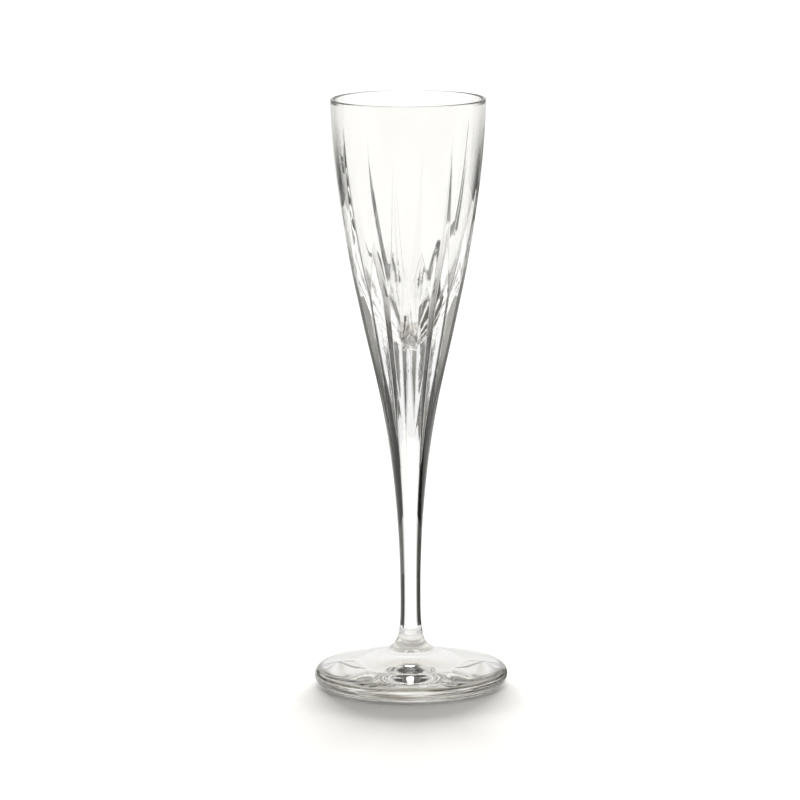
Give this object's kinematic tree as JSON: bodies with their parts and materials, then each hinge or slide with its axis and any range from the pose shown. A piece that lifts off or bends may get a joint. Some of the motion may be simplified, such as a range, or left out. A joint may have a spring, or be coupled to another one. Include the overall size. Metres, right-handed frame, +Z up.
{
  "type": "champagne flute",
  "caption": "Stemmed cut crystal flute: a slim trumpet bowl with mitre cuts, a tapering stem and a thick round foot.",
  "frame": {"origin": "centre of the flat face under the foot, on the surface that the flute stands on", "axes": "+Z up along the axis of the flute; +X and +Y lie in the surface, and the pattern of cuts is turned about Z"},
  "size_m": [0.077, 0.077, 0.235],
  "materials": {
    "bowl_crystal": "polished",
    "stem_crystal": "polished",
    "foot_crystal": "polished"
  },
  "bodies": {
    "root": {"bowl": "bowl_crystal", "stem": "stem_crystal", "button": "stem_crystal", "foot": "foot_crystal"}
  },
  "joints": []
}
